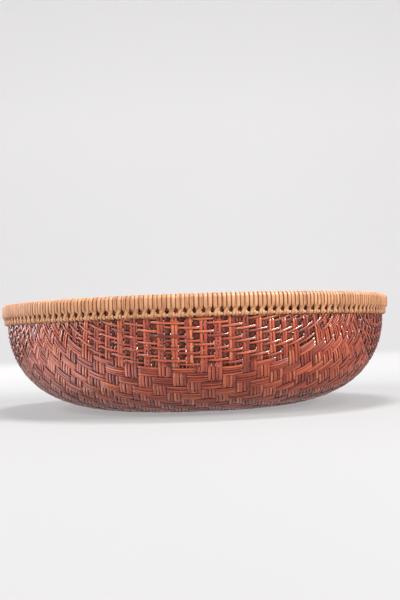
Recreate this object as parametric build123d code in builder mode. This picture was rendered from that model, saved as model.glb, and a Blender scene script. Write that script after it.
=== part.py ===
# Round fruit basket: a plaited mat pressed into a bowl, with its edge clamped
# between two cane hoops and lashed with a wrapped, knotted strand.
#
# Millimetres, +Z up. The origin is the middle of the underside of the base.

import os
from math import cos, degrees, floor, pi, radians, sin, sqrt

from build123d import *

# ---------------------------------------------------------------- overall
rim_radius = 165.0          # outside of the wrapped rim
basket_height = 90.0        # underside of the base to the top of the rim

# ---------------------------------------------------------------- mat
splint_thickness = 1.0      # one layer of splints
layer_gap = 0.05            # between the two layers
belly_radius = 125.5        # first bend, from the flat base outwards
belly_angle = 24.6          # how far the mat has turned up where the belly ends
straight_wall = 1.6         # upright stretch below the rim's lowest cane

# ---------------------------------------------------------------- rim
outer_hoop_thickness = 3.7
inner_hoop_thickness = 3.7
hoop_height = 8.6
hoop_round = 2.6            # rounded back corners of a hoop
cap_cane_height = 2.4
joint_gap = 0.4             # slit where the two ends of a bent cane meet

wrap_thickness = 0.9
wrap_width = 2.85
wrap_gap = 0.2              # least gap between turns, on the inside of the rim

turns_per_knot = 2          # turns of the wrapping that each knot draws together
knot_height = 3.3
knot_thickness = 1.9
knot_squeeze = 0.3          # how much narrower a knot's spread ends are than its turns
knot_waist = 2.6            # across its drawn-in middle

stitch_cane_diameter = 2.0
tail_width = 2.2            # one straight strand of the tucked end
tail_angle = -48.0          # where round the rim the strand ends

# ---------------------------------------------------------------- fits
hoop_clearance = 0.1        # hoop, knot or stitch cane to the mat
wrap_clearance = 0.05       # wrapping to what it goes round
stack_clearance = 0.05      # piece under piece below the hoops

# ---------------------------------------------------------------- worked out, across
outer_hoop_outside = rim_radius - wrap_thickness - wrap_clearance
mat_radius = outer_hoop_outside - outer_hoop_thickness - hoop_clearance
mat_inside = mat_radius - 2 * splint_thickness - layer_gap
inner_hoop_outside = mat_inside - hoop_clearance
inner_hoop_inside = inner_hoop_outside - inner_hoop_thickness
rim_inside = inner_hoop_inside - wrap_clearance - wrap_thickness
rim_thickness = rim_radius - rim_inside

# ---------------------------------------------------------------- worked out, upwards
hoop_top = basket_height - wrap_thickness - wrap_clearance
hoop_bottom = hoop_top - hoop_height
mat_top = hoop_top - cap_cane_height - stack_clearance
wrap_bottom = hoop_bottom - wrap_clearance - wrap_thickness
knot_top = wrap_bottom - stack_clearance
knot_bottom = knot_top - knot_height
stitch_top = knot_bottom - stack_clearance
stitch_height = stitch_top - stitch_cane_diameter / 2
shoulder_height = stitch_top - stitch_cane_diameter - straight_wall

# The shoulder is the second bend: it takes the mat from the belly to upright.
turn_up = radians(belly_angle)
belly_rise = belly_radius * (1 - cos(turn_up))
shoulder_radius = (shoulder_height - belly_rise) / cos(turn_up)
base_radius = mat_radius - shoulder_radius * (1 - sin(turn_up)) - belly_radius * sin(turn_up)

# As many turns go round as fit on the inside of the rim, a whole number to each knot.
knot_count = floor(2 * pi * rim_inside / (turns_per_knot * (wrap_width + wrap_gap)))
knot_pitch = 360 / knot_count
knot_width = turns_per_knot * wrap_width - knot_squeeze
wrap_count = knot_count * turns_per_knot
wrap_height = basket_height - wrap_bottom

print(f"shoulder radius {shoulder_radius:.1f}, flat base radius {base_radius:.1f}")
print(f"rim {rim_thickness:.2f} thick, wrapping {wrap_height:.2f} high, {wrap_count} turns")


def mat_line(depth):
    """Half outline of the mat, at a depth inside its outer face."""
    flat = Line((0, depth), (base_radius, depth))
    belly = JernArc(flat @ 1, flat % 1, belly_radius - depth, belly_angle)
    shoulder = JernArc(belly @ 1, belly % 1, shoulder_radius - depth, 90 - belly_angle)
    return Line(shoulder @ 1, (mat_radius - depth, mat_top))


def mat_layer(outer_depth, inner_depth):
    """Closed shell that stands for one layer of the mat's splints."""
    with BuildPart() as layer:
        with BuildSketch(Plane.XZ):
            with BuildLine():
                outer_wall = mat_line(outer_depth)
                inner_wall = mat_line(inner_depth)
                Line(outer_wall @ 1, inner_wall @ 1)
                Line((0, outer_depth), (0, inner_depth))
            make_face()
        revolve(axis=Axis.Z)
    return layer


def open_ring(section, joint_angle, radius):
    """Bent cane: a section turned almost all the way round, with a slit at its joint."""
    slit = degrees(joint_gap / radius)
    turn = radians(joint_angle)
    upright = Plane(origin=(0, 0, 0), x_dir=(cos(turn), sin(turn), 0), z_dir=(sin(turn), -cos(turn), 0))
    with BuildPart() as ring:
        with BuildSketch(upright):
            add(section.sketch)
        revolve(axis=Axis.Z, revolution_arc=360 - slit)
    return ring


# ---------------------------------------------------------------- mat layers
weft_splints = mat_layer(0, splint_thickness)
weft_splints.part.label = "weft_splints"

warp_splints = mat_layer(splint_thickness + layer_gap, 2 * splint_thickness + layer_gap)
warp_splints.part.label = "warp_splints"

# ---------------------------------------------------------------- hoops
hoop_middle = (hoop_top + hoop_bottom) / 2

with BuildSketch() as outer_hoop_section:
    with Locations((outer_hoop_outside - outer_hoop_thickness / 2, hoop_middle)):
        Rectangle(outer_hoop_thickness, hoop_height)
    fillet(outer_hoop_section.vertices().group_by(Axis.X)[-1], hoop_round)

with BuildSketch() as inner_hoop_section:
    with Locations((inner_hoop_inside + inner_hoop_thickness / 2, hoop_middle)):
        Rectangle(inner_hoop_thickness, hoop_height)
    fillet(inner_hoop_section.vertices().group_by(Axis.X)[0], hoop_round)

outer_hoop = open_ring(outer_hoop_section, 70, outer_hoop_outside)
outer_hoop.part.label = "outer_hoop"

inner_hoop = open_ring(inner_hoop_section, 110, inner_hoop_outside)
inner_hoop.part.label = "inner_hoop"

# ---------------------------------------------------------------- cap cane
cap_cane_width = mat_radius - mat_inside
with BuildSketch() as cap_cane_section:
    with Locations(((mat_radius + mat_inside) / 2, hoop_top - cap_cane_height / 2)):
        RectangleRounded(cap_cane_width, cap_cane_height, cap_cane_width / 4)

cap_cane = open_ring(cap_cane_section, 95, mat_radius)
cap_cane.part.label = "cap_cane"

# ---------------------------------------------------------------- rim wrapping
# One turn goes round both hoops and turns in under them, up to the mat on each side.
# Its corners are cut flat, close over the hoops' round backs.
inner_cut = hoop_round * (2 - sqrt(2))
outer_cut = inner_cut + wrap_thickness * (2 - sqrt(2))
rim_middle = (rim_inside + rim_thickness / 2, (basket_height + wrap_bottom) / 2)

with BuildSketch() as hoop_room:
    with Locations(rim_middle):
        Rectangle(rim_thickness - 2 * wrap_thickness, wrap_height - 2 * wrap_thickness)
    chamfer(hoop_room.vertices(), inner_cut)

with BuildPart() as wrap_turn:
    with BuildSketch(Plane.XZ) as turn_section:
        with Locations(rim_middle):
            Rectangle(rim_thickness, wrap_height)
        chamfer(turn_section.vertices(), outer_cut)
        add(hoop_room.sketch, mode=Mode.SUBTRACT)
        with Locations(((mat_radius + mat_inside) / 2, wrap_bottom)):
            Rectangle(cap_cane_width + 2 * hoop_clearance, wrap_height, mode=Mode.SUBTRACT)
    extrude(amount=wrap_width / 2, both=True)

with BuildPart() as rim_wrapping:
    with PolarLocations(0, wrap_count):
        add(wrap_turn.part)
rim_wrapping.part.label = "rim_wrapping"


# ---------------------------------------------------------------- stitch canes
def stitch_cane(radius, joint_angle):
    """Round cane that lies against the mat under the knots."""
    with BuildSketch() as section:
        with Locations((radius, stitch_height)):
            Circle(stitch_cane_diameter / 2)
    return open_ring(section, joint_angle, radius)


outer_stitch_radius = mat_radius + hoop_clearance + stitch_cane_diameter / 2
outer_stitch_cane = stitch_cane(outer_stitch_radius, 80)
outer_stitch_cane.part.label = "outer_stitch_cane"

inner_stitch_radius = mat_inside - hoop_clearance - stitch_cane_diameter / 2
inner_stitch_cane = stitch_cane(inner_stitch_radius, 100)
inner_stitch_cane.part.label = "inner_stitch_cane"


# ---------------------------------------------------------------- knots
def knot(face_radius):
    """Crossing of two turns: spread ends and a drawn-in waist, on an upright face."""
    spread = knot_width / 2
    waist = knot_waist / 2
    rise = knot_height / 2
    middle = (knot_top + knot_bottom) / 2
    face = Plane(origin=(face_radius, 0, middle), x_dir=(0, 1, 0), z_dir=(1, 0, 0))
    with BuildPart() as crossing:
        with BuildSketch(face):
            with BuildLine():
                Polyline(
                    (-spread, rise),
                    (spread, rise),
                    (waist, 0),
                    (spread, -rise),
                    (-spread, -rise),
                    (-waist, 0),
                    close=True,
                )
            make_face()
        extrude(amount=knot_thickness)
    return crossing


# The outside row leaves one place free for the tail.
with BuildPart() as outer_knots:
    with PolarLocations(
        0,
        knot_count - 1,
        start_angle=tail_angle + knot_pitch,
        angular_range=360 - knot_pitch,
    ):
        add(knot(mat_radius + hoop_clearance).part)
outer_knots.part.label = "outer_knots"

with BuildPart() as inner_knots:
    with PolarLocations(0, knot_count, start_angle=tail_angle):
        add(knot(mat_inside - hoop_clearance - knot_thickness).part)
inner_knots.part.label = "inner_knots"

# ---------------------------------------------------------------- wrapping tail
tail_plane = Plane(
    origin=(mat_radius + hoop_clearance, 0, (knot_top + knot_bottom) / 2),
    x_dir=(0, 1, 0),
    z_dir=(1, 0, 0),
)
with BuildPart() as tail_strands:
    with BuildSketch(tail_plane):
        with GridLocations(knot_width - tail_width, 0, 2, 1):
            RectangleRounded(tail_width, knot_height, tail_width / 4)
    extrude(amount=knot_thickness)

with BuildPart() as wrapping_tail:
    with PolarLocations(0, 1, start_angle=tail_angle):
        add(tail_strands.part)
wrapping_tail.part.label = "wrapping_tail"

# ---------------------------------------------------------------- write the pieces
os.makedirs("parts", exist_ok=True)
export_step(weft_splints.part, "parts/weft_splints.step", write_pcurves=False)
export_step(warp_splints.part, "parts/warp_splints.step", write_pcurves=False)
export_step(outer_hoop.part, "parts/outer_hoop.step", write_pcurves=False)
export_step(inner_hoop.part, "parts/inner_hoop.step", write_pcurves=False)
export_step(cap_cane.part, "parts/cap_cane.step", write_pcurves=False)
export_step(rim_wrapping.part, "parts/rim_wrapping.step", write_pcurves=False)
export_step(outer_stitch_cane.part, "parts/outer_stitch_cane.step", write_pcurves=False)
export_step(inner_stitch_cane.part, "parts/inner_stitch_cane.step", write_pcurves=False)
export_step(outer_knots.part, "parts/outer_knots.step", write_pcurves=False)
export_step(inner_knots.part, "parts/inner_knots.step", write_pcurves=False)
export_step(wrapping_tail.part, "parts/wrapping_tail.step", write_pcurves=False)
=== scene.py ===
import math
import random
import bpy
import numpy as np
from mathutils import Matrix, Vector


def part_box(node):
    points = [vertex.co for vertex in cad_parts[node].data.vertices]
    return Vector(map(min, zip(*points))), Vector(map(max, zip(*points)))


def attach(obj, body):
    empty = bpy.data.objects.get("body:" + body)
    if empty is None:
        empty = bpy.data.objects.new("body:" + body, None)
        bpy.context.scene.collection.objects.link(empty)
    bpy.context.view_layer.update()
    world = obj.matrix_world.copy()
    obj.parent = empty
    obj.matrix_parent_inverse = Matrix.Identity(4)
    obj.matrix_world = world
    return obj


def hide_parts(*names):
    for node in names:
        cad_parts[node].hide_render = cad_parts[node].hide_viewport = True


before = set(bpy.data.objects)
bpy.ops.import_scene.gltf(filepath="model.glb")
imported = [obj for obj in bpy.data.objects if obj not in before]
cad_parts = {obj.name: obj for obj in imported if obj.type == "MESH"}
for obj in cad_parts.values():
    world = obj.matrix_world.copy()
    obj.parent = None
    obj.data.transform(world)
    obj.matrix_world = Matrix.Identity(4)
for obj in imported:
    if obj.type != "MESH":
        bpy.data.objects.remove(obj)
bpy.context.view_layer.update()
mm = 0.001

# Places that everything below hangs on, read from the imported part.
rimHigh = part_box("rim_wrapping")[1]
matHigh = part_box("weft_splints")[1]
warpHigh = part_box("warp_splints")[1]
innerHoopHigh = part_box("inner_hoop")[1]
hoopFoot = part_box("outer_hoop")[0].z
caneLow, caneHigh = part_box("outer_stitch_cane")


def makeTree(name, inputs):
    tree = bpy.data.node_groups.new(name, "GeometryNodeTree")
    tree.interface.new_socket("Geometry", in_out="INPUT", socket_type="NodeSocketGeometry")
    for label, kind, value in inputs:
        socket = tree.interface.new_socket(label, in_out="INPUT", socket_type=kind)
        if value is not None:
            socket.default_value = value
    tree.interface.new_socket("Geometry", in_out="OUTPUT", socket_type="NodeSocketGeometry")
    return tree, tree.nodes.new("NodeGroupInput"), tree.nodes.new("NodeGroupOutput")


def linkNodes(tree, *pairs):
    for source, target in pairs:
        tree.links.new(source, target)


def namedValue(tree, name, kind):
    node = tree.nodes.new("GeometryNodeInputNamedAttribute")
    node.data_type = kind
    node.inputs["Name"].default_value = name
    return node.outputs["Attribute"]


def storeValue(tree, geometry, name, value, domain="POINT", kind="FLOAT"):
    node = tree.nodes.new("GeometryNodeStoreNamedAttribute")
    node.data_type = kind
    node.domain = domain
    node.inputs["Name"].default_value = name
    linkNodes(tree, (geometry, node.inputs["Geometry"]), (value, node.inputs["Value"]))
    return node.outputs["Geometry"]


def fillSockets(tree, sockets, values):
    # Plain numbers go on the socket itself, outputs of other nodes are linked to it.
    for socket, value in zip(sockets, values):
        if isinstance(value, (int, float)):
            socket.default_value = value
        elif isinstance(value, tuple):
            socket.default_value = (*value, 1.0)
        else:
            tree.links.new(value, socket)


def mathNode(tree, operation, first, second=0.0, third=0.5):
    node = tree.nodes.new("ShaderNodeMath")
    node.operation = operation
    fillSockets(tree, node.inputs, (first, second, third))
    return node.outputs[0]


def times(tree, first, second):
    return mathNode(tree, "MULTIPLY", first, second)


def pathMesh(name, paths):
    # Each path is a dictionary of rows: points, outward, width and tone.
    points, edges, outward, width, tone, run, ride = [], [], [], [], [], [], []
    for path in paths:
        first, count = len(points), len(path["points"])
        points.extend(path["points"])
        edges.extend((first + i, first + i + 1) for i in range(count - 1))
        outward.extend(path["outward"])
        width.extend(path["width"])
        tone.extend([path["tone"]] * count)
        ride.extend(path.get("ride", [1.0] * count))
        steps = np.linalg.norm(np.diff(np.array(path["points"]), axis=0), axis=1)
        run.extend(np.concatenate([[0.0], np.cumsum(steps)]) + path["tone"] * 3.0)
    mesh = bpy.data.meshes.new(name)
    mesh.from_pydata([tuple(p) for p in points], edges, [])
    for label, kind, field, values in (
        ("outward", "FLOAT_VECTOR", "vector", outward),
        ("broad", "FLOAT", "value", width),
        ("tone", "FLOAT", "value", tone),
        ("run", "FLOAT", "value", run),
        ("ride", "FLOAT", "value", ride),
    ):
        layer = mesh.attributes.new(label, kind, "POINT")
        layer.data.foreach_set(field, np.array(values, dtype=np.float32).ravel())
    piece = bpy.data.objects.new(name, mesh)
    bpy.context.scene.collection.objects.link(piece)
    return piece


def bakeTree(piece, tree, settings):
    # Sets each input by its identifier, evaluates once and keeps the plain mesh.
    modifier = piece.modifiers.new(tree.name, "NODES")
    modifier.node_group = tree
    for item in tree.interface.items_tree:
        if item.item_type == "SOCKET" and item.in_out == "INPUT" and item.name in settings:
            modifier[item.identifier] = settings[item.name]
    graph = bpy.context.evaluated_depsgraph_get()
    mesh = bpy.data.meshes.new_from_object(piece.evaluated_get(graph))
    mesh.name = piece.name
    piece.modifiers.clear()
    piece.data = mesh
    mesh.materials.clear()
    mesh.materials.append(settings["Material"])
    return piece


# Every strand has the same section: a flattened ring whose edges are only a little rounded.
section = {
    "sides": 8,
    "squareAcross": 0.75,         # powers below one push the ring out towards a rectangle
    "squareThrough": 0.62,
}
strandInputs = [
    ("Width", "NodeSocketFloat", 2.0 * mm),
    ("Thickness", "NodeSocketFloat", 0.9 * mm),
    ("Material", "NodeSocketMaterial", None),
]


def sweepStrand(tree, start):
    # A flat strand with soft edges, swept along each path with its face held to "outward".
    curve = tree.nodes.new("GeometryNodeMeshToCurve")
    facing = tree.nodes.new("GeometryNodeSetCurveNormal")
    facing.mode = "FREE"
    ring = tree.nodes.new("GeometryNodeCurvePrimitiveCircle")
    ring.inputs["Resolution"].default_value = section["sides"]
    ring.inputs["Radius"].default_value = 1.0
    turned = tree.nodes.new("GeometryNodeTransform")
    turned.inputs["Rotation"].default_value = (0.0, 0.0, math.pi / section["sides"])
    squared = tree.nodes.new("GeometryNodeSetPosition")
    square = tree.nodes.new("ShaderNodeCombineXYZ")
    place = tree.nodes.new("GeometryNodeInputPosition")
    split = tree.nodes.new("ShaderNodeSeparateXYZ")
    flatten = tree.nodes.new("GeometryNodeTransform")
    size = tree.nodes.new("ShaderNodeCombineXYZ")
    sweep = tree.nodes.new("GeometryNodeCurveToMesh")
    sweep.inputs["Fill Caps"].default_value = True
    flatten.inputs["Rotation"].default_value = (0.0, 0.0, math.pi / 2)
    halfWidth = times(tree, start.outputs["Width"], 0.5)
    halfThick = times(tree, start.outputs["Thickness"], 0.5)

    def pushOut(value, power):
        length = mathNode(tree, "POWER", mathNode(tree, "ABSOLUTE", value), power)
        return times(tree, mathNode(tree, "SIGN", value), length)

    flatX = pushOut(split.outputs["X"], section["squareAcross"])
    flatY = pushOut(split.outputs["Y"], section["squareThrough"])
    linkNodes(
        tree,
        (start.outputs["Geometry"], curve.inputs["Mesh"]),
        (curve.outputs["Curve"], facing.inputs["Curve"]),
        (namedValue(tree, "outward", "FLOAT_VECTOR"), facing.inputs["Normal"]),
        (place.outputs[0], split.inputs[0]),
        (halfWidth, size.inputs["X"]),
        (halfThick, size.inputs["Y"]),
        (size.outputs[0], flatten.inputs["Scale"]),
        (facing.outputs["Curve"], sweep.inputs["Curve"]),
        (flatten.outputs["Geometry"], sweep.inputs["Profile Curve"]),
        (namedValue(tree, "broad", "FLOAT"), sweep.inputs["Scale"]),
    )
    linkNodes(
        tree,
        (ring.outputs["Curve"], turned.inputs["Geometry"]),
        (turned.outputs["Geometry"], squared.inputs["Geometry"]),
        (flatX, square.inputs["X"]),
        (flatY, square.inputs["Y"]),
        (square.outputs[0], squared.inputs["Position"]),
    )
    across = storeValue(tree, squared.outputs["Geometry"], "across", split.outputs["X"])
    face = storeValue(tree, across, "face", split.outputs["Y"])
    tree.links.new(face, flatten.inputs["Geometry"])
    return sweep.outputs["Mesh"]


def closeTree(tree, start, end, geometry):
    smooth = tree.nodes.new("GeometryNodeSetShadeSmooth")
    real = tree.nodes.new("GeometryNodeRealizeInstances")
    paint = tree.nodes.new("GeometryNodeSetMaterial")
    linkNodes(
        tree,
        (geometry, real.inputs["Geometry"]),
        (real.outputs["Geometry"], smooth.inputs["Geometry"]),
        (smooth.outputs["Geometry"], paint.inputs["Geometry"]),
        (start.outputs["Material"], paint.inputs["Material"]),
        (paint.outputs["Geometry"], end.inputs["Geometry"]),
    )


def buildStrandTree():
    tree, start, end = makeTree("plaited strands", strandInputs)
    closeTree(tree, start, end, sweepStrand(tree, start))
    return tree


def buildLashingTree():
    # One stretch of lashing, repeated round the rim with a little unevenness.
    tree, start, end = makeTree("lashing round the rim", strandInputs + [
        ("Count", "NodeSocketInt", 158),
        ("First Angle", "NodeSocketFloat", 0.0),
        ("Step", "NodeSocketFloat", 0.04),
        ("Unevenness", "NodeSocketFloat", 0.0),
        ("Seed", "NodeSocketInt", 0),
    ])
    spots = tree.nodes.new("GeometryNodePoints")
    index = tree.nodes.new("GeometryNodeInputIndex")
    turn = tree.nodes.new("ShaderNodeCombineXYZ")
    spin = tree.nodes.new("FunctionNodeEulerToRotation")
    copies = tree.nodes.new("GeometryNodeInstanceOnPoints")
    jitter = tree.nodes.new("FunctionNodeRandomValue")
    shade = tree.nodes.new("FunctionNodeRandomValue")
    jitter.data_type = shade.data_type = "FLOAT"
    jitter.inputs[2].default_value = -1.0
    jitter.inputs[3].default_value = 1.0
    shadeSeed = mathNode(tree, "ADD", start.outputs["Seed"], 7)
    even = times(tree, index.outputs[0], start.outputs["Step"])
    wander = times(tree, jitter.outputs[1], start.outputs["Unevenness"])
    angle = mathNode(tree, "ADD", mathNode(tree, "ADD", even, wander), start.outputs["First Angle"])
    linkNodes(
        tree,
        (start.outputs["Count"], spots.inputs["Count"]),
        (start.outputs["Seed"], jitter.inputs["Seed"]),
        (shadeSeed, shade.inputs["Seed"]),
        (angle, turn.inputs["Z"]),
        (turn.outputs[0], spin.inputs["Euler"]),
        (spots.outputs[0], copies.inputs["Points"]),
        (sweepStrand(tree, start), copies.inputs["Instance"]),
        (spin.outputs[0], copies.inputs["Rotation"]),
    )
    toned = storeValue(tree, copies.outputs["Instances"], "turnTone", shade.outputs[1], "INSTANCE")
    closeTree(tree, start, end, toned)
    return tree


def principled(name, roughness, coat, coatRoughness):
    material = bpy.data.materials.new(name)
    material.use_nodes = True
    nodes = material.node_tree.nodes
    nodes.clear()
    output = nodes.new("ShaderNodeOutputMaterial")
    shader = nodes.new("ShaderNodeBsdfPrincipled")
    shader.inputs["Roughness"].default_value = roughness
    shader.inputs["Specular IOR Level"].default_value = 0.3
    shader.inputs["Coat Weight"].default_value = coat
    shader.inputs["Coat IOR"].default_value = 1.42
    shader.inputs["Coat Roughness"].default_value = coatRoughness
    material.node_tree.links.new(shader.outputs[0], output.inputs["Surface"])
    return material, material.node_tree, shader


def attributeValue(tree, name):
    node = tree.nodes.new("ShaderNodeAttribute")
    node.attribute_name = name
    return node.outputs["Fac"]


def noiseValue(tree, vector, scale, detail=2.0):
    node = tree.nodes.new("ShaderNodeTexNoise")
    node.inputs["Scale"].default_value = scale
    node.inputs["Detail"].default_value = detail
    tree.links.new(vector, node.inputs["Vector"])
    return node.outputs["Fac"]


def joinVector(tree, x, y, z):
    node = tree.nodes.new("ShaderNodeCombineXYZ")
    fillSockets(tree, node.inputs, (x, y, z))
    return node.outputs[0]


def colourRamp(tree, factor, stops):
    node = tree.nodes.new("ShaderNodeValToRGB")
    ramp = node.color_ramp
    while len(ramp.elements) < len(stops):
        ramp.elements.new(0.5)
    for element, (position, colour) in zip(ramp.elements, stops):
        element.position = position
        element.color = (*colour, 1.0)
    tree.links.new(factor, node.inputs["Fac"])
    return node.outputs["Color"]


def mixColour(tree, factor, first, second, blend="MIX"):
    node = tree.nodes.new("ShaderNodeMix")
    node.data_type = "RGBA"
    node.blend_type = blend
    fillSockets(tree, (node.inputs[0], node.inputs[6], node.inputs[7]), (factor, first, second))
    return node.outputs[2]


def addBump(tree, shader, height, strength, distance):
    node = tree.nodes.new("ShaderNodeBump")
    node.inputs["Strength"].default_value = strength
    node.inputs["Distance"].default_value = distance
    tree.links.new(height, node.inputs["Height"])
    tree.links.new(node.outputs[0], shader.inputs["Normal"])


# Dyed splint under lacquer. Colours run from the darkest to the palest streak.
splintFinish = {
    "roughness": 0.42,
    "coat": 1.0,
    "coatRoughness": 0.12,
    "paintedEdgeShade": (0.030, 0.008, 0.006),      # painted shade along both edges of a splint, where it meets its neighbours
    "paintedRecessShade": (0.10, 0.07, 0.065),         # painted shade where it lies under its neighbours
    "dark": (0.180, 0.029, 0.018),
    "body": (0.465, 0.076, 0.040),
    "warm": (0.600, 0.118, 0.049),
    "pale": (0.700, 0.205, 0.098),
    "fibreAcross": 3.2,                 # fibres over the width, and along each metre
    "fibreAlong": 28.0,
    "blotchAcross": 0.3,
    "blotchAlong": 60.0,
    "blotchShare": 0.62,                # how much of the shade is blotches
    "strandShare": 0.48,                # and how much differs from splint to splint
    "paintedEdgeShadePower": 3.4,
    "paintedEdgeShadeShare": 0.88,
    "paintedRecessShadeShare": -0.4,
    "bump": 0.55,
    "bumpDepth": 0.25 * mm,
}


def splintMaterial():
    finish = splintFinish
    material, tree, shader = principled(
        "dyed_splint", finish["roughness"], finish["coat"], finish["coatRoughness"])
    across, run, tone = (attributeValue(tree, n) for n in ("across", "run", "tone"))
    fibre = noiseValue(tree, joinVector(
        tree, times(tree, across, finish["fibreAcross"]), times(tree, run, finish["fibreAlong"]),
        times(tree, tone, 61.0)), 1.0, 3.0)
    blotch = noiseValue(tree, joinVector(
        tree, times(tree, across, finish["blotchAcross"]), times(tree, run, finish["blotchAlong"]),
        times(tree, tone, 37.0)), 1.0, 2.0)
    strandShade = times(tree, tone, finish["strandShare"])
    shade = mathNode(tree, "ADD", times(tree, blotch, finish["blotchShare"]), strandShade)
    colour = colourRamp(tree, shade, [
        (0.24, finish["dark"]), (0.46, finish["body"]), (0.66, finish["warm"]), (0.88, finish["pale"])])
    grain = colourRamp(tree, fibre, [
        (0.30, (0.50, 0.44, 0.42)), (0.50, (1.0, 1.0, 1.0)), (0.72, (1.22, 1.28, 1.30))])
    # Both edges of each splint are darkened: painted shade in the gaps between splints.
    edge = mathNode(tree, "POWER", mathNode(tree, "ABSOLUTE", across), finish["paintedEdgeShadePower"])
    edgeShadedColour = mixColour(tree, times(tree, edge, finish["paintedEdgeShadeShare"]), colour, finish["paintedEdgeShade"])
    # Painted shade: a splint is darkened where its face lies low, under its neighbours.
    sunk = times(tree, attributeValue(tree, "ride"), attributeValue(tree, "face"))
    paintedRecessShade = colourRamp(tree, mathNode(tree, "MULTIPLY_ADD", sunk, finish["paintedRecessShadeShare"]), [
        (0.06, finish["paintedRecessShade"]), (0.74, (1.0, 1.0, 1.0))])
    grained = mixColour(tree, 1.0, edgeShadedColour, grain, "MULTIPLY")
    tree.links.new(mixColour(tree, 1.0, grained, paintedRecessShade, "MULTIPLY"), shader.inputs["Base Color"])
    addBump(tree, shader, fibre, finish["bump"], finish["bumpDepth"])
    return material


# Bare rattan of the lashing.
caneFinish = {
    "roughness": 0.55,
    "coat": 0.06,
    "coatRoughness": 0.30,
    "dark": (0.250, 0.085, 0.035),
    "body": (0.535, 0.240, 0.107),
    "pale": (0.700, 0.385, 0.200),
    "stitch": (0.820, 0.520, 0.230),
    "worn": (0.88, 0.70, 0.42),
    "grooveAcross": 2.6,
    "grooveAlong": 24.0,
    "cloudAcross": 0.2,
    "cloudAlong": 90.0,
    "grooveShare": 0.62,
    "cloudShare": 0.38,
    "edgePower": 3.6,
    "edgeShare": 0.85,
    "bump": 0.6,
    "bumpDepth": 0.3 * mm,
    "ringGrain": 2200.0,                # grain through a bent cane, per metre
    "ringRun": 22.0,                    # and along it, per radian
    "ringBump": 0.4,
    "ringBumpDepth": 0.2 * mm,
}


def caneMaterial():
    finish = caneFinish
    material, tree, shader = principled(
        "natural_rattan", finish["roughness"], finish["coat"], finish["coatRoughness"])
    across, run, tone, turn = (attributeValue(tree, n) for n in ("across", "run", "tone", "turnTone"))
    key = mathNode(tree, "ADD", times(tree, turn, 43.0), times(tree, tone, 17.0))
    groove = noiseValue(tree, joinVector(
        tree, times(tree, across, finish["grooveAcross"]), times(tree, run, finish["grooveAlong"]),
        key), 1.0, 2.0)
    cloud = noiseValue(tree, joinVector(
        tree, times(tree, across, finish["cloudAcross"]), times(tree, run, finish["cloudAlong"]),
        key), 1.0, 1.0)
    shade = mathNode(tree, "ADD", times(tree, groove, finish["grooveShare"]),
                     times(tree, cloud, finish["cloudShare"]))
    colour = colourRamp(tree, shade, [
        (0.30, finish["dark"]), (0.47, finish["body"]), (0.66, finish["pale"])])
    # Both edges of each turn are darkened: painted shade where neighbouring turns meet.
    edge = mathNode(tree, "POWER", mathNode(tree, "ABSOLUTE", across), finish["edgePower"])
    edgeShadedCane = mixColour(tree, times(tree, edge, finish["edgeShare"]), colour, finish["dark"])
    tree.links.new(edgeShadedCane, shader.inputs["Base Color"])
    addBump(tree, shader, groove, finish["bump"], finish["bumpDepth"])
    return material


def bentCaneMaterial(name, stops):
    # For the hoops and round canes, whose grain follows the ring.
    finish = caneFinish
    material, tree, shader = principled(name, finish["roughness"], finish["coat"], finish["coatRoughness"])
    place = tree.nodes.new("ShaderNodeTexCoord")
    split = tree.nodes.new("ShaderNodeSeparateXYZ")
    tree.links.new(place.outputs["Object"], split.inputs[0])
    x, y, z = split.outputs
    radius = mathNode(tree, "SQRT", mathNode(tree, "ADD", times(tree, x, x), times(tree, y, y)))
    bearing = mathNode(tree, "ARCTAN2", y, x)
    grain = noiseValue(tree, joinVector(
        tree, times(tree, radius, finish["ringGrain"]), times(tree, bearing, finish["ringRun"]),
        times(tree, z, finish["ringGrain"])), 1.0, 2.0)
    tree.links.new(colourRamp(tree, grain, stops), shader.inputs["Base Color"])
    addBump(tree, shader, grain, finish["ringBump"], finish["ringBumpDepth"])
    return material


splintPaint = splintMaterial()
canePaint = caneMaterial()
hoopPaint = bentCaneMaterial("hoop_rattan", [(0.3, caneFinish["dark"]), (0.7, caneFinish["body"])])
stitchPaint = bentCaneMaterial("stitch_rattan", [
    (0.25, caneFinish["body"]), (0.5, caneFinish["stitch"]), (0.8, caneFinish["worn"])])
print("materials ready")


# The bowl's profile: a flat base, a wide belly, a tight shoulder and a short upright wall.
bowl = {
    "bellyRadius": 125.5 * mm,
    "bellyAngle": math.radians(24.6),
    "straightWall": 1.6 * mm,     # upright stretch below the stitch cane
}
matDepth = (matHigh.x - (warpHigh.x - (matHigh.x - warpHigh.x))) / 2    # middle of the mat below its face
shoulderHeight = caneLow.z - bowl["straightWall"]
bellyRise = bowl["bellyRadius"] * (1 - math.cos(bowl["bellyAngle"]))
shoulderRadius = (shoulderHeight - bellyRise) / math.cos(bowl["bellyAngle"])
baseRadius = (matHigh.x - shoulderRadius * (1 - math.sin(bowl["bellyAngle"]))
              - bowl["bellyRadius"] * math.sin(bowl["bellyAngle"]))
bellyReach = bowl["bellyRadius"] - matDepth
shoulderReach = shoulderRadius - matDepth
bellyEnd = baseRadius + bellyReach * bowl["bellyAngle"]
shoulderEnd = bellyEnd + shoulderReach * (math.pi / 2 - bowl["bellyAngle"])
matEnd = shoulderEnd + warpHigh.z - shoulderHeight    # arc length from the middle to the mat's edge


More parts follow.
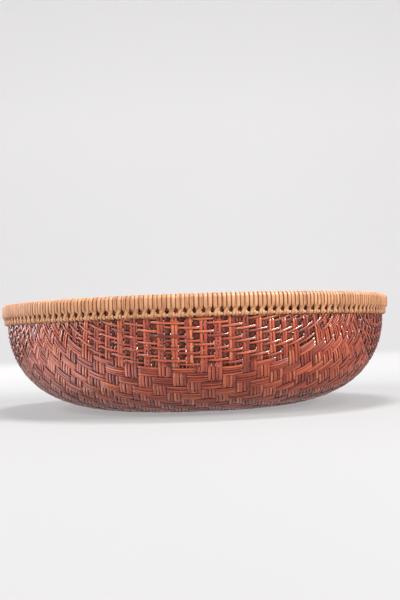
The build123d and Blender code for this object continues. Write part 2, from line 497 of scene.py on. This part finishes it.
def bowlSection(arc):
    # Radius, height and slope of the mat's middle at an arc length from the centre.
    arc = np.asarray(arc, dtype=float)
    slope = np.where(arc < baseRadius, 0.0, np.where(
        arc < bellyEnd, (arc - baseRadius) / bellyReach,
        np.clip(bowl["bellyAngle"] + (arc - bellyEnd) / shoulderReach, 0.0, math.pi / 2)))
    bellyX = baseRadius + bellyReach * np.sin(slope)
    bellyZ = bowl["bellyRadius"] - bellyReach * np.cos(slope)
    turnX = baseRadius + (bowl["bellyRadius"] - shoulderRadius) * math.sin(bowl["bellyAngle"])
    turnZ = bowl["bellyRadius"] - (bowl["bellyRadius"] - shoulderRadius) * math.cos(bowl["bellyAngle"])
    upperX = turnX + shoulderReach * np.sin(slope)
    upperZ = turnZ - shoulderReach * np.cos(slope) + np.maximum(arc - shoulderEnd, 0.0)
    radius = np.where(arc < baseRadius, arc, np.where(arc < bellyEnd, bellyX, upperX))
    height = np.where(arc < baseRadius, matDepth, np.where(arc < bellyEnd, bellyZ, upperZ))
    return radius, height, slope


def bowlPoint(arc, bearing):
    radius, height, _ = bowlSection(arc)
    return np.stack([radius * np.cos(bearing), radius * np.sin(bearing), height], -1)


def bowlOutward(arc, bearing):
    _, _, slope = bowlSection(arc)
    return np.stack([np.sin(slope) * np.cos(bearing), np.sin(slope) * np.sin(bearing), -np.cos(slope)], -1)


def drapeNet(cell, reach):
    # Drapes a net of equal threads over a quarter of the bowl, starting from two straight threads.
    count = int(reach / cell) + 3
    arc = np.full((count, count), np.nan)
    bearing = np.full((count, count), np.nan)
    steps = np.arange(count) * cell
    arc[:, 0] = arc[0, :] = steps
    bearing[:, 0] = 0.0
    bearing[0, :] = math.pi / 2
    for diagonal in range(2, 2 * count - 1):
        i = np.arange(max(1, diagonal - count + 1), min(count, diagonal))
        j = diagonal - i
        good = np.isfinite(arc[i - 1, j]) & np.isfinite(arc[i, j - 1]) & np.isfinite(arc[i - 1, j - 1])
        i, j = i[good], j[good]
        if not len(i):
            continue
        left = bowlPoint(arc[i - 1, j], bearing[i - 1, j])
        below = bowlPoint(arc[i, j - 1], bearing[i, j - 1])
        s = arc[i - 1, j] + arc[i, j - 1] - arc[i - 1, j - 1]
        guess = left + below - bowlPoint(arc[i - 1, j - 1], bearing[i - 1, j - 1])
        t = np.arctan2(guess[:, 1], guess[:, 0])
        s = np.where(s < baseRadius, np.hypot(guess[:, 0], guess[:, 1]), s)
        for _ in range(14):
            here = bowlPoint(s, t)
            toLeft, toBelow = here - left, here - below
            missLeft = (toLeft ** 2).sum(-1) - cell ** 2
            missBelow = (toBelow ** 2).sum(-1) - cell ** 2
            nudge = 1e-6
            alongArc = (bowlPoint(s + nudge, t) - bowlPoint(s - nudge, t)) / (2 * nudge)
            around = np.stack([-here[:, 1], here[:, 0], np.zeros(len(s))], -1)
            a, b = 2 * (toLeft * alongArc).sum(-1), 2 * (toLeft * around).sum(-1)
            c, d = 2 * (toBelow * alongArc).sum(-1), 2 * (toBelow * around).sum(-1)
            det = a * d - b * c
            s = s - np.clip((d * missLeft - b * missBelow) / det, -cell, cell)
            t = t - np.clip((a * missBelow - c * missLeft) / det, -0.2, 0.2)
        keep = (s < reach) & (np.abs(missLeft) < 1e-3 * cell ** 2)
        arc[i[keep], j[keep]] = s[keep]
        bearing[i[keep], j[keep]] = t[keep]
    return arc, bearing


netCell = 4.0 * mm
netArc, netBearing = drapeNet(netCell, matEnd + 14 * mm)
netPlan = np.stack([netArc * np.cos(netBearing), netArc * np.sin(netBearing)], -1)
print("net draped", netPlan.shape)


def planAt(u, w):
    # Where thread coordinates u, w fall, as arc length times direction. Smooth between net knots.
    x, y = np.abs(u) / netCell, np.abs(w) / netCell
    last = len(netPlan) - 3
    i, j = np.clip(x.astype(int), 0, last), np.clip(y.astype(int), 0, last)
    fx, fy = (x - i)[:, None], (y - j)[:, None]
    plan = (netPlan[i, j] * (1 - fx) * (1 - fy) + netPlan[i + 1, j] * fx * (1 - fy)
            + netPlan[i, j + 1] * (1 - fx) * fy + netPlan[i + 1, j + 1] * fx * fy)
    return plan * np.stack([np.where(u < 0, -1.0, 1.0), np.where(w < 0, -1.0, 1.0)], -1)


# The mat. Splints run over and under each other by the twill below.
mat = {
    "denseHalf": 159.0 * mm,      # half the middle field, which is laid in pairs
    "warpPair": 5.1 * mm,         # pitch of the pairs that run front to back
    "weftPair": 4.4 * mm,         # pitch of the pairs that run left to right
    "edgePitch": 3.05 * mm,       # pitch of the single splints near the rim
    "firstEdge": 0.885,           # gap from the last pair to the first of them, in pitches
    "warpSplint": 2.38 * mm,
    "weftSplint": 2.02 * mm,
    "edgeSplint": 1.9 * mm,
    "thickness": 0.85 * mm,
    "lift": 0.68 * mm,            # how far a splint rides off the middle of the mat
    "samples": 3,                 # points along a splint in each crossing
    "warpOffset": 0.07,
    "weftOffset": -0.045,
    "sag": 1.8,                   # bend of the outer rows, per metre
    "sagStart": 110 * mm,         # where it starts, from the middle
    "sagEase": 55 * mm,
    "squeeze": 1.12,              # how much splints narrow where the weave is askew
    "stiff": 0.85,
    "bow": 0.22,
    "pairGap": 0.04 * mm,         # half the gap between the two splints of a pair
    "wander": 0.16 * mm,
    "wave": 0.14 * mm,
    "crowd": 1.3,                 # how much further splints ride where the weave is askew
    "tilt": 0.11,                 # how far a splint leans over on its edge, as a slope
    "seed": 4,
}


def layOut(pairPitch, offset, splint):
    # Places of all strands that run one way: pairs in the middle field, single splints outside.
    strands = []
    inside = math.floor(mat["denseHalf"] / pairPitch)
    for k in range(-inside, inside):
        centre = (k + offset) * pairPitch
        strands.append({"index": k, "centre": centre, "paired": True, "width": splint, "pitch": pairPitch})
    low, high = strands[0]["centre"] - pairPitch / 2, strands[-1]["centre"] + pairPitch / 2
    beyond = math.floor((matEnd - mat["denseHalf"]) / mat["edgePitch"])
    for k in range(beyond):
        reach = (k + mat["firstEdge"]) * mat["edgePitch"]
        for side, edge in ((-1, low), (1, high)):
            strands.append({"index": side * (k + 1), "centre": edge + side * reach, "paired": False,
                            "width": mat["edgeSplint"], "pitch": mat["edgePitch"]})
    return sorted(strands, key=lambda s: s["centre"])


warps = layOut(mat["warpPair"], mat["warpOffset"], mat["warpSplint"])
wefts = layOut(mat["weftPair"], mat["weftOffset"], mat["weftSplint"])
floatCells = {0, 1, 2, 3, 7, 8}     # where the warp lies outside, in the twelve-step repeat of the twill
# Heights of the single splint and the pair where they meet near the rim, by step of that twill.
edgeRide = {
    0: (0.40, -1.1),
    1: (1.35, -0.2),
    2: (1.35, -1.1),
    3: (-0.8, 1.0),
    4: (-1.9, -0.4),
    5: (-0.8, 1.0),
}


def rideAt(warp, weft):
    # How far out the warp and the weft lie where they cross, in shares of the lift.
    c, r = warp["index"], -weft["index"]
    if warp["paired"] and weft["paired"]:
        return (1.0, -1.0) if (c + 7 * r) % 12 in floatCells else (-1.0, 1.0)
    if warp["paired"]:
        single, pair = edgeRide[(c + 2 * r + (2 if c < -3 else 0)) % 6]
        return pair, single
    if weft["paired"]:
        return edgeRide[(r + 2 * c) % 6]
    return (1.0, -1.0) if (c + r) % 2 else (-1.0, 1.0)


def bendRows(u, w):
    # The outermost rows sag a little towards the rim's curve.
    def eased(reach):
        part = np.clip((np.abs(reach) - mat["sagStart"]) / mat["sagEase"], 0.0, 1.0)
        return part * part * (3 - 2 * part)

    def sag(side):
        return mat["sag"] * side ** 2 / (1 + (side / mat["sagStart"]) ** 4)

    return u - np.sign(u) * sag(w) * eased(u), w - np.sign(w) * sag(u) * eased(w)


def layStrand(across, along, isWarp):
    # Points of a splint on the bowl, how square it is to its crossings, and the bowl's outward side.
    def bowlAt(plan):
        return bowlPoint(np.hypot(plan[:, 0], plan[:, 1]), np.arctan2(plan[:, 1], plan[:, 0]))

    u, w = (across, along) if isWarp else (along, across)
    step = 0.5 * mm
    plan = planAt(*bendRows(u, w))
    here = bowlAt(plan)
    alongU = bowlAt(planAt(*bendRows(u + step, w))) - here
    alongW = bowlAt(planAt(*bendRows(u, w + step))) - here
    lean = (alongU * alongW).sum(-1) / (
        np.linalg.norm(alongU, axis=1) * np.linalg.norm(alongW, axis=1) + 1e-12)
    arc, bearing = np.hypot(plan[:, 0], plan[:, 1]), np.arctan2(plan[:, 1], plan[:, 0])
    narrow = np.clip(1 - lean ** 2, 0.2, 1.0) ** mat["squeeze"]
    return here, bowlOutward(arc, bearing), narrow, np.isfinite(arc) & (arc < matEnd)


def strandPaths(strands, crossings, isWarp, rng):
    paths = []
    centres = np.array([x["centre"] for x in crossings])
    pitches = np.array([x["pitch"] for x in crossings])
    offsets = (np.arange(mat["samples"]) + 0.5) / mat["samples"] - 0.5
    along = (centres[:, None] + offsets[None, :] * pitches[:, None]).ravel()
    spots = np.interp(along, centres, np.arange(len(centres)))
    low = np.clip(np.floor(spots).astype(int), 0, len(centres) - 2)
    part = np.clip((spots - low - 0.5) * 1.7 + 0.5, 0.0, 1.0)
    part = part * part * (3 - 2 * part)
    for strand in strands:
        level = np.array([rideAt(strand, x)[0] if isWarp else rideAt(x, strand)[1] for x in crossings])
        around = (np.roll(level, 1) + np.roll(level, -1)) / 2
        level = level * mat["stiff"] + around * mat["bow"]      # long floats bow out in the middle
        lift = level[low] * (1 - part) + level[low + 1] * part
        square = layStrand(np.full(len(along), strand["centre"]), along, isWarp)[2]
        square = np.nan_to_num(square, nan=1.0)
        for side in ((-1, 1) if strand["paired"] else (0,)):
            # Where the weave is pulled askew the two splints of a pair close up.
            shift = side * (strand["width"] / 2 + mat["pairGap"]) * (0.22 + 0.78 * square)
            wave = mat["wave"] * np.sin(along * rng.uniform(40, 90) + rng.uniform(0, 6.28))
            across = strand["centre"] + shift + wave + rng.uniform(-1, 1) * mat["wander"]
            here, outward, narrow, good = layStrand(across, along, isWarp)
            broad = rng.uniform(0.93, 1.05)
            ride = lift + rng.uniform(-0.16, 0.16)
            tilt = mat["tilt"] * np.sin(along * rng.uniform(20, 70) + rng.uniform(0, 6.28))
            tilt = (tilt + mat["tilt"] * rng.uniform(-1, 1)) * (3.4 - 2.4 * square)
            if good.sum() < 6:
                continue
            proud = ride * mat["lift"] * (1 + mat["crowd"] * (1 - square))
            points = (here + outward * proud[:, None])[good]
            points[:, 2] = np.maximum(points[:, 2], mat["thickness"] * 0.6)      # rests on the floor
            heading = np.gradient(points, axis=0)
            heading /= np.linalg.norm(heading, axis=1)[:, None]
            aside = np.cross(heading, outward[good])
            paths.append({
                "points": points,
                "outward": outward[good] + aside * tilt[good][:, None],
                "width": (narrow * broad)[good],
                "ride": ride[good],
                "tone": rng.random(),
                "paired": strand["paired"],
                "centre": strand["centre"],
            })
    return paths


strandTree = buildStrandTree()


def makeSplints(name, paths, width, node):
    piece = pathMesh(name, paths)
    bakeTree(piece, strandTree, {"Width": width, "Thickness": mat["thickness"], "Material": splintPaint})
    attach(piece, "root")
    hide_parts(node)
    print(name, len(paths), "splints,", sum(len(p.vertices) - 2 for p in piece.data.polygons), "triangles")


middleHalf = mat["denseHalf"] * 0.47      # each half of the mat is kept in two pieces
rng = random.Random(mat["seed"])
warpPaths = strandPaths(warps, wefts, True, rng)
weftPaths = strandPaths(wefts, warps, False, rng)
for label, node, paths, width, fields in (
    ("warp", "warp_splints", warpPaths, mat["warpSplint"], ("left", "right")),
    ("weft", "weft_splints", weftPaths, mat["weftSplint"], ("front", "back")),
):
    for field, side in zip(fields, (-1, 1)):
        paired = [p for p in paths if p["paired"] and p["centre"] * side > 0]
        inner = [p for p in paired if abs(p["centre"]) < middleHalf]
        outer = [p for p in paired if abs(p["centre"]) >= middleHalf]
        makeSplints(f"{label}_pairs_{field}_middle", inner, width, node)
        makeSplints(f"{label}_pairs_{field}", outer, width, node)
    single = [p for p in paths if not p["paired"]]
    makeSplints(f"{label}_edge_splints", single, mat["edgeSplint"], node)


# The lashing over the rim, its crossed knots and its tucked end.
lashing = {
    "pairs": 158,
    "width": 2.95 * mm,
    "thickness": 0.9 * mm,
    "hoopThickness": 3.7 * mm,
    "crown": 2.9 * mm,            # rounding of the rim's corners
    "crownSteps": 5,
    "slimKnot": 0.95,             # width of the strand where it crosses, as a share
    "slimTuck": 0.84,             # and where it tucks under the stitch cane
    "crossLift": 0.42 * mm,
    "tailAngle": math.radians(-48.0),
    "uneven": 0.0011,             # how far a pair may sit off its place, as an angle
    "seed": 11,
}
pairStep = 2 * math.pi / lashing["pairs"]
halfStep = pairStep / 4            # from the middle of a pair to the middle of a turn
strandHalf = lashing["thickness"] / 2
faceOut = rimHigh.x - strandHalf
faceIn = innerHoopHigh.x - lashing["hoopThickness"] - strandHalf
faceTop = rimHigh.z - strandHalf
caneMiddle = (caneLow.z + caneHigh.z) / 2


def turnPath(side):
    # One turn over the rim, from under the outer hoop to under the inner one.
    crown, steps = lashing["crown"], lashing["crownSteps"]
    foot = [(0.5 * mm, -0.6 * mm), (0.12 * mm, 0.5 * mm), (0.0, 1.8 * mm)]      # inwards and up
    outline = [(faceOut - inwards, hoopFoot + up) for inwards, up in foot]
    outline.append((faceOut, faceTop - crown))
    for k in range(1, steps + 1):
        angle = k / steps * math.pi / 2
        height = faceTop - crown + crown * math.sin(angle)
        outline.append((faceOut - crown + crown * math.cos(angle), height))
    for k in range(steps):
        angle = math.pi / 2 + k / steps * math.pi / 2
        height = faceTop - crown + crown * math.sin(angle)
        outline.append((faceIn + crown + crown * math.cos(angle), height))
    outline.append((faceIn, faceTop - crown))
    outline.extend((faceIn + inwards, hoopFoot + up) for inwards, up in reversed(foot))
    outline = np.array(outline)
    tangent = np.gradient(outline, axis=0)
    outward = np.stack([tangent[:, 1], np.zeros(len(outline)), -tangent[:, 0]], -1)
    outward /= np.linalg.norm(outward, axis=1)[:, None]
    depth = np.clip((hoopFoot + 0.7 * mm - outline[:, 1]) / (1.3 * mm), 0.0, 1.0)
    lean = 1 - 0.12 * depth ** 2
    points = [(x, side * math.tan(halfStep) * x * squeeze, z) for (x, z), squeeze in zip(outline, lean)]
    width = 1 - 0.05 * depth
    return {"points": np.array(points), "outward": outward, "width": width, "tone": 0.3 + 0.4 * (side > 0)}


def knotPath(side, inner, crossed=True):
    # The same turn going on below the hoop: across its partner, over the stitch cane and into the mat.
    lift = lashing["crossLift"] * (1 if side > 0 else -0.8)
    startT = math.tan(halfStep) * faceOut * 0.80
    rows = [  # height, distance out from the mat's face, sideways share, width share
        (hoopFoot + 0.3 * mm, 3.95 * mm, 1.12, 0.98),
        (hoopFoot - 0.8 * mm, 3.35 * mm, 0.95, 0.97),
        (hoopFoot - 1.7 * mm, 2.60 * mm + 0.6 * lift, 0.52, lashing["slimKnot"]),
        (hoopFoot - 2.6 * mm, 2.30 * mm + lift, 0.00, lashing["slimKnot"]),
        (hoopFoot - 3.4 * mm, 2.30 * mm + 0.7 * lift, -0.48, lashing["slimKnot"]),
        (caneHigh.z - 0.2 * mm, 2.50 * mm + 0.2 * lift, -0.78, 0.90),
        (caneMiddle, 2.62 * mm, -0.95, lashing["slimTuck"]),
        (caneLow.z + 0.1 * mm, 2.25 * mm, -1.00, lashing["slimTuck"]),
        (caneLow.z - 0.45 * mm, 1.30 * mm, -1.00, lashing["slimTuck"]),
        (caneLow.z - 0.30 * mm, 0.10 * mm, -1.00, lashing["slimTuck"]),
    ]
    base = innerHoopHigh.x - 0.1 * mm if inner else matHigh.x
    sign = -1 if inner else 1
    points, width = [], []
    for height, away, share, broad in rows:
        sideways = share if crossed else abs(share) * 0.35 + 0.65
        points.append((base + sign * away, side * startT * sideways * (0.95 if inner else 1.0), height))
        width.append(broad)
    points = np.array(points)
    tangent = np.gradient(points, axis=0)
    tangent[:, 1] = 0
    outward = np.stack([-tangent[:, 2], np.zeros(len(points)), tangent[:, 0]], -1) * sign
    outward /= np.linalg.norm(outward, axis=1)[:, None]
    return {"points": points, "outward": outward, "width": width, "tone": 0.3 + 0.4 * (side > 0)}


lashingTree = buildLashingTree()


def makeLashing(name, paths, nodes, count, first, unevenness, seed):
    piece = pathMesh(name, paths)
    bakeTree(piece, lashingTree, {
        "Width": lashing["width"], "Thickness": lashing["thickness"], "Material": canePaint,
        "Count": count, "First Angle": first, "Step": pairStep, "Unevenness": unevenness, "Seed": seed})
    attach(piece, "root")
    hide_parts(*nodes)
    print(name, sum(len(p.vertices) - 2 for p in piece.data.polygons), "triangles")
    return piece


tailTurn = lashing["tailAngle"]
makeLashing("rim_wraps", [turnPath(-1), turnPath(1)], ["rim_wrapping"],
            lashing["pairs"], tailTurn, lashing["uneven"], lashing["seed"])
makeLashing("outer_knot_crossings", [knotPath(-1, False), knotPath(1, False)], ["outer_knots"],
            lashing["pairs"] - 1, tailTurn + pairStep, lashing["uneven"], lashing["seed"])
makeLashing("inner_knot_crossings", [knotPath(-1, True), knotPath(1, True)], ["inner_knots"],
            lashing["pairs"], tailTurn, lashing["uneven"], lashing["seed"])
makeLashing("tucked_tail", [knotPath(-1, False, False), knotPath(1, False, False)], ["wrapping_tail"],
            1, tailTurn, 0.0, lashing["seed"])


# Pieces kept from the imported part, with their finish.
for node, paint in (("outer_hoop", hoopPaint), ("inner_hoop", hoopPaint), ("cap_cane", hoopPaint),
                    ("outer_stitch_cane", stitchPaint), ("inner_stitch_cane", stitchPaint)):
    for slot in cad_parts[node].material_slots:
        slot.material = paint
print("lashing done")


# Floor that curves up into a backdrop behind the basket, in metres.
sweepShape = {
    "front": -3.0,
    "bend": 2.2,                  # where the floor starts to rise
    "bendRadius": 1.0,
    "bendSteps": 12,
    "top": 4.0,
    "half": 5.0,
    "floor": (0.21, 0.21, 0.213),
    "wall": (0.70, 0.695, 0.70),
    "glow": 0.335,
}


def makeSweep():
    bend, radius, steps = sweepShape["bend"], sweepShape["bendRadius"], sweepShape["bendSteps"]
    half = sweepShape["half"]
    outline = [(sweepShape["front"], 0.0), (bend, 0.0)]
    for k in range(1, steps + 1):
        angle = k / steps * math.pi / 2
        outline.append((bend + radius * math.sin(angle), radius - radius * math.cos(angle)))
    outline.append((bend + radius, sweepShape["top"]))
    verts = [(x, y, z) for y, z in outline for x in (-half, half)]
    faces = [(2 * k, 2 * k + 1, 2 * k + 3, 2 * k + 2) for k in range(len(outline) - 1)]
    mesh = bpy.data.meshes.new("sweep")
    mesh.from_pydata(verts, [], faces)
    mesh.polygons.foreach_set("use_smooth", [True] * len(faces))
    sweep = bpy.data.objects.new("sweep", mesh)
    bpy.context.scene.collection.objects.link(sweep)
    material, tree, shader = principled("pale_sweep", 0.9, 0.0, 0.5)
    place = tree.nodes.new("ShaderNodeTexCoord")
    split = tree.nodes.new("ShaderNodeSeparateXYZ")
    tree.links.new(place.outputs["Object"], split.inputs[0])
    shade = colourRamp(tree, times(tree, split.outputs["Y"], 0.5), [
        (0.08, sweepShape["floor"]), (0.75, sweepShape["wall"])])
    tree.links.new(shade, shader.inputs["Base Color"])
    shader.inputs["Emission Color"].default_value = (1.0, 0.99, 1.0, 1.0)
    shader.inputs["Emission Strength"].default_value = sweepShape["glow"]
    mesh.materials.append(material)
    sweep.visible_glossy = False        # keeps its white out of the shine under the bowl


# Each light's place, the height it points at, its size, power and colour. A light with no gloss
# doesn't show in the lacquer, and one with no wash shows only there.
lamps = {
    "window": {"place": (-1.1, -1.3, 1.2), "aim": 0.04, "size": (0.5, 0.5), "power": 22.0,
               "colour": (1.0, 0.98, 0.99)},
    "side": {"place": (-1.4, 0.7, 0.45), "aim": 0.05, "size": (1.2, 0.6), "power": 8.0,
             "colour": (1.0, 0.98, 1.0)},
    "sheen": {"place": (-1.6, 0.30, 0.30), "aim": 0.05, "size": (2.0, 0.6), "power": 18.0,
              "colour": (1.0, 0.98, 1.0), "wash": False},
    "low": {"place": (0.1, -1.5, 0.14), "aim": 0.03, "size": (0.8, 0.2), "power": 2.2,
            "colour": (1.0, 0.95, 0.93), "gloss": False},
    "below": {"place": (-1.05, 0.0, -0.75), "aim": 0.04, "size": (1.1, 0.9), "power": 7.5,
              "colour": (1.0, 0.98, 1.0), "wash": False, "shadow": False},
    "glint": {"place": (0.62, -0.62, 1.05), "aim": 0.06, "size": (0.35, 0.35), "power": 80.0,
              "colour": (1.0, 1.0, 1.0), "wash": False},
    "overhead": {"place": (0.1, -0.15, 1.5), "aim": 0.05, "size": (0.5, 0.3), "power": 26.0,
                 "colour": (1.0, 0.99, 0.98), "gloss": False},
    "fill": {"place": (1.4, -0.9, 0.8), "aim": 0.04, "size": (0.4, 0.4), "power": 26.0,
             "colour": (1.0, 0.96, 0.93)},
}


def makeLight(name, lamp):
    data = bpy.data.lights.new(name, "AREA")
    data.shape = "RECTANGLE"
    data.size, data.size_y = lamp["size"]
    data.energy = lamp["power"]
    data.color = lamp["colour"]
    data.use_shadow = lamp.get("shadow", True)
    light = bpy.data.objects.new(name, data)
    light.location = lamp["place"]
    towards = Vector((0, 0, lamp["aim"])) - Vector(lamp["place"])
    light.rotation_euler = towards.to_track_quat("-Z", "Y").to_euler()
    light.visible_glossy = lamp.get("gloss", True)
    light.visible_diffuse = lamp.get("wash", True)
    bpy.context.scene.collection.objects.link(light)


# The camera stands in front, a little below the rim. Angles in degrees.
studio = {
    "sky": (0.93, 0.93, 0.95),
    "skyStrength": 0.30,
    "lens": 56.7,
    "filmWidth": 36.0,
    "distance": 825 * mm,
    "height": 59.1 * mm,
    "pitch": 2.23,
    "yaw": 0.33,
    "roll": -1.87,
}


def makeCamera():
    data = bpy.data.cameras.new("camera")
    data.sensor_width = studio["filmWidth"]
    data.lens = studio["lens"]
    camera = bpy.data.objects.new("camera", data)
    pitch, yaw, roll = (math.radians(studio[k]) for k in ("pitch", "yaw", "roll"))
    forward = Vector((math.sin(yaw) * math.cos(pitch), math.cos(yaw) * math.cos(pitch), math.sin(pitch)))
    right = Vector((math.cos(yaw), -math.sin(yaw), 0.0))
    up = right.cross(forward)
    tiltedRight = right * math.cos(roll) + up * math.sin(roll)
    tiltedUp = up * math.cos(roll) - right * math.sin(roll)
    camera.matrix_world = Matrix((
        (tiltedRight.x, tiltedUp.x, -forward.x, 0.0),
        (tiltedRight.y, tiltedUp.y, -forward.y, -studio["distance"]),
        (tiltedRight.z, tiltedUp.z, -forward.z, studio["height"]),
        (0.0, 0.0, 0.0, 1.0),
    ))
    bpy.context.scene.collection.objects.link(camera)
    bpy.context.scene.camera = camera


makeCamera()
makeSweep()
for name, lamp in lamps.items():
    makeLight(name, lamp)

world = bpy.data.worlds.new("sky")
world.use_nodes = True
background = world.node_tree.nodes["Background"]
background.inputs["Color"].default_value = (*studio["sky"], 1.0)
background.inputs["Strength"].default_value = studio["skyStrength"]
bpy.context.scene.world = world
bpy.context.scene.view_settings.view_transform = "Standard"

print("scene ready")
